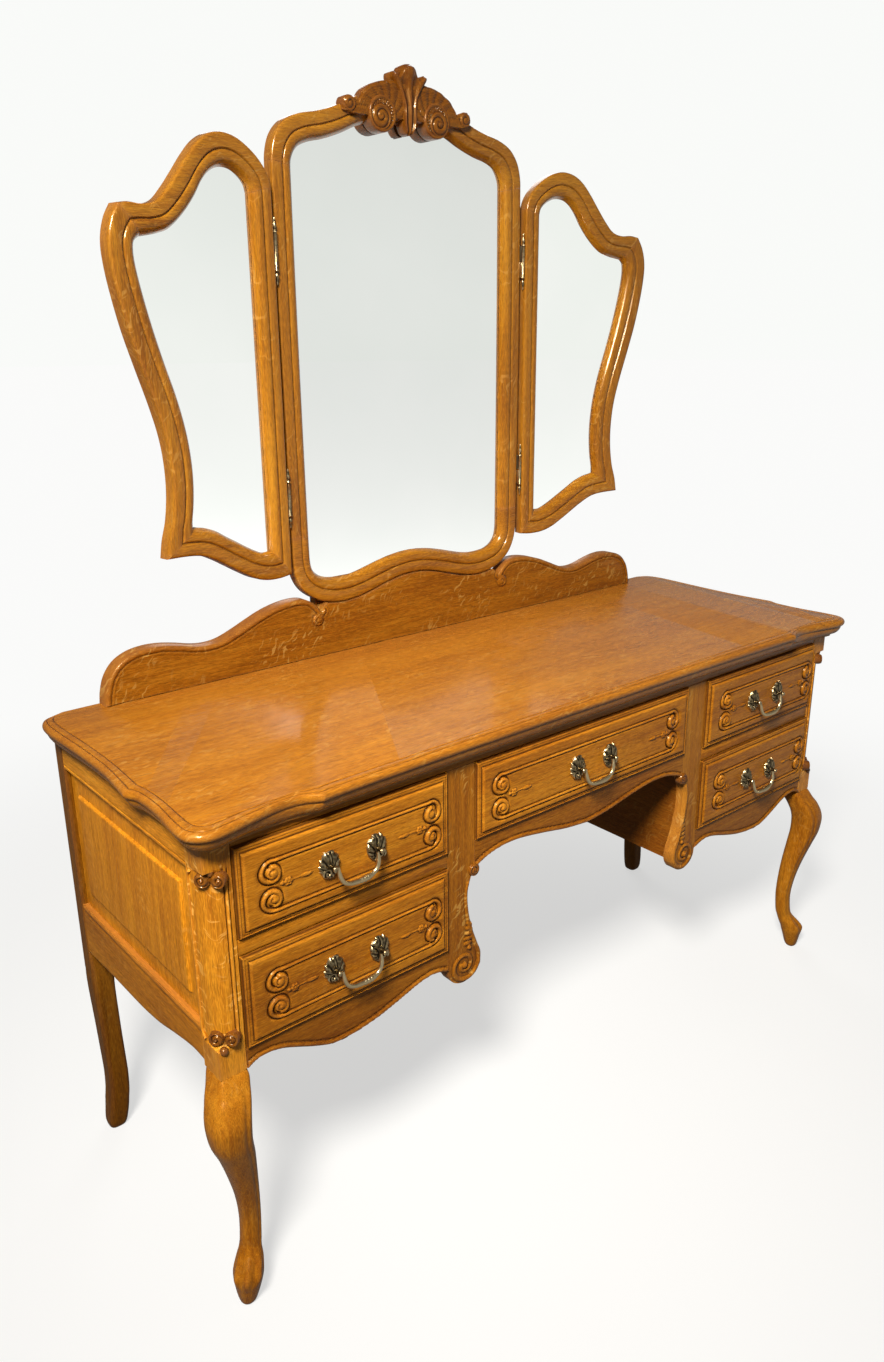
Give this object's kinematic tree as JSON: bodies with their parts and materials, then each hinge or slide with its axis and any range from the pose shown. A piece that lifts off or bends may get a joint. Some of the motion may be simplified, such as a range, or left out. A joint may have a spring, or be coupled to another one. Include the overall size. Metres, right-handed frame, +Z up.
{
  "type": "vanity table with mirror",
  "caption": "Oak dressing table in a country Rococo style with drawers either side of a kneehole, brass bail handles and a folding triple mirror on a shaped backboard.",
  "frame": {"origin": "middle of the footprint on the floor", "axes": "+X to the right seen from the front, +Y to the back, +Z up; the drawers face -Y"},
  "size_m": [1.462, 0.5336, 1.727],
  "materials": {
    "oak": "quarter-sawn oak, stained golden brown, satin lacquer",
    "side_oak": "oak side frames and fielded panels, honey stain, satin lacquer",
    "inner_wood": "unfinished secondary wood and back boards",
    "mirror": "silvered plate glass",
    "brass": "antiqued brass, dark in the recesses"
  },
  "bodies": {
    "carcass": {"top_board": "oak", "front_top_rail": "oak", "apron_centre": "oak", "back_panel": "inner_wood", "backboard": "oak", "mirror_support": "inner_wood", "centre_frame": "oak", "centre_glass": "mirror", "corner_post_left": "oak", "front_leg_left": "oak", "rear_leg_left": "oak", "side_top_rail_left": "side_oak", "side_bottom_rail_left": "side_oak", "side_panel_left": "side_oak", "kneehole_stile_left": "oak", "drawer_rail_left": "oak", "apron_left": "oak", "inner_side_left": "inner_wood", "hinge_fixed_left_upper": "brass", "hinge_fixed_left_lower": "brass", "corner_post_right": "oak", "front_leg_right": "oak", "rear_leg_right": "oak", "side_top_rail_right": "side_oak", "side_bottom_rail_right": "side_oak", "side_panel_right": "side_oak", "kneehole_stile_right": "oak", "drawer_rail_right": "oak", "apron_right": "oak", "inner_side_right": "inner_wood", "hinge_fixed_right_upper": "brass", "hinge_fixed_right_lower": "brass"},
    "drawer_left_upper": {"drawer_left_upper": "oak", "rosette_left_upper_a": "brass", "rosette_left_upper_b": "brass"},
    "bail_left_upper": {"bail_left_upper": "brass"},
    "drawer_left_lower": {"drawer_left_lower": "oak", "rosette_left_lower_a": "brass", "rosette_left_lower_b": "brass"},
    "bail_left_lower": {"bail_left_lower": "brass"},
    "drawer_centre": {"drawer_centre": "oak", "rosette_centre_a": "brass", "rosette_centre_b": "brass"},
    "bail_centre": {"bail_centre": "brass"},
    "drawer_right_upper": {"drawer_right_upper": "oak", "rosette_right_upper_a": "brass", "rosette_right_upper_b": "brass"},
    "bail_right_upper": {"bail_right_upper": "brass"},
    "drawer_right_lower": {"drawer_right_lower": "oak", "rosette_right_lower_a": "brass", "rosette_right_lower_b": "brass"},
    "bail_right_lower": {"bail_right_lower": "brass"},
    "wing_left": {"wing_frame_left": "oak", "wing_glass_left": "mirror", "hinge_moving_left_upper": "brass", "hinge_moving_left_lower": "brass"},
    "wing_right": {"wing_frame_right": "oak", "wing_glass_right": "mirror", "hinge_moving_right_upper": "brass", "hinge_moving_right_lower": "brass"}
  },
  "joints": [
    {"name": "left_upper_slide", "type": "slide", "parent": "carcass", "child": "drawer_left_upper", "axis": [0, -1, 0], "range_m": [0, 0.3]},
    {"name": "left_upper_bail_hinge", "type": "hinge", "parent": "drawer_left_upper", "child": "bail_left_upper", "pos_m": [-0.487, -0.2528, 0.6402], "axis": [-1, 0, 0], "range_deg": [0, 85]},
    {"name": "left_lower_slide", "type": "slide", "parent": "carcass", "child": "drawer_left_lower", "axis": [0, -1, 0], "range_m": [0, 0.3]},
    {"name": "left_lower_bail_hinge", "type": "hinge", "parent": "drawer_left_lower", "child": "bail_left_lower", "pos_m": [-0.487, -0.2528, 0.4782], "axis": [-1, 0, 0], "range_deg": [0, 85]},
    {"name": "centre_slide", "type": "slide", "parent": "carcass", "child": "drawer_centre", "axis": [0, -1, 0], "range_m": [0, 0.3]},
    {"name": "centre_bail_hinge", "type": "hinge", "parent": "drawer_centre", "child": "bail_centre", "pos_m": [0, -0.2528, 0.6425], "axis": [-1, 0, 0], "range_deg": [0, 85]},
    {"name": "right_upper_slide", "type": "slide", "parent": "carcass", "child": "drawer_right_upper", "axis": [0, -1, 0], "range_m": [0, 0.3]},
    {"name": "right_upper_bail_hinge", "type": "hinge", "parent": "drawer_right_upper", "child": "bail_right_upper", "pos_m": [0.487, -0.2528, 0.6402], "axis": [-1, 0, 0], "range_deg": [0, 85]},
    {"name": "right_lower_slide", "type": "slide", "parent": "carcass", "child": "drawer_right_lower", "axis": [0, -1, 0], "range_m": [0, 0.3]},
    {"name": "right_lower_bail_hinge", "type": "hinge", "parent": "drawer_right_lower", "child": "bail_right_lower", "pos_m": [0.487, -0.2528, 0.4782], "axis": [-1, 0, 0], "range_deg": [0, 85]},
    {"name": "wing_left_hinge", "type": "hinge", "parent": "carcass", "child": "wing_left", "pos_m": [-0.2692, 0.2222, 1.24], "axis": [0, 0, 1], "range_deg": [-9, 80]},
    {"name": "wing_right_hinge", "type": "hinge", "parent": "carcass", "child": "wing_right", "pos_m": [0.2692, 0.2222, 1.24], "axis": [0, 0, -1], "range_deg": [-9, 80]}
  ]
}
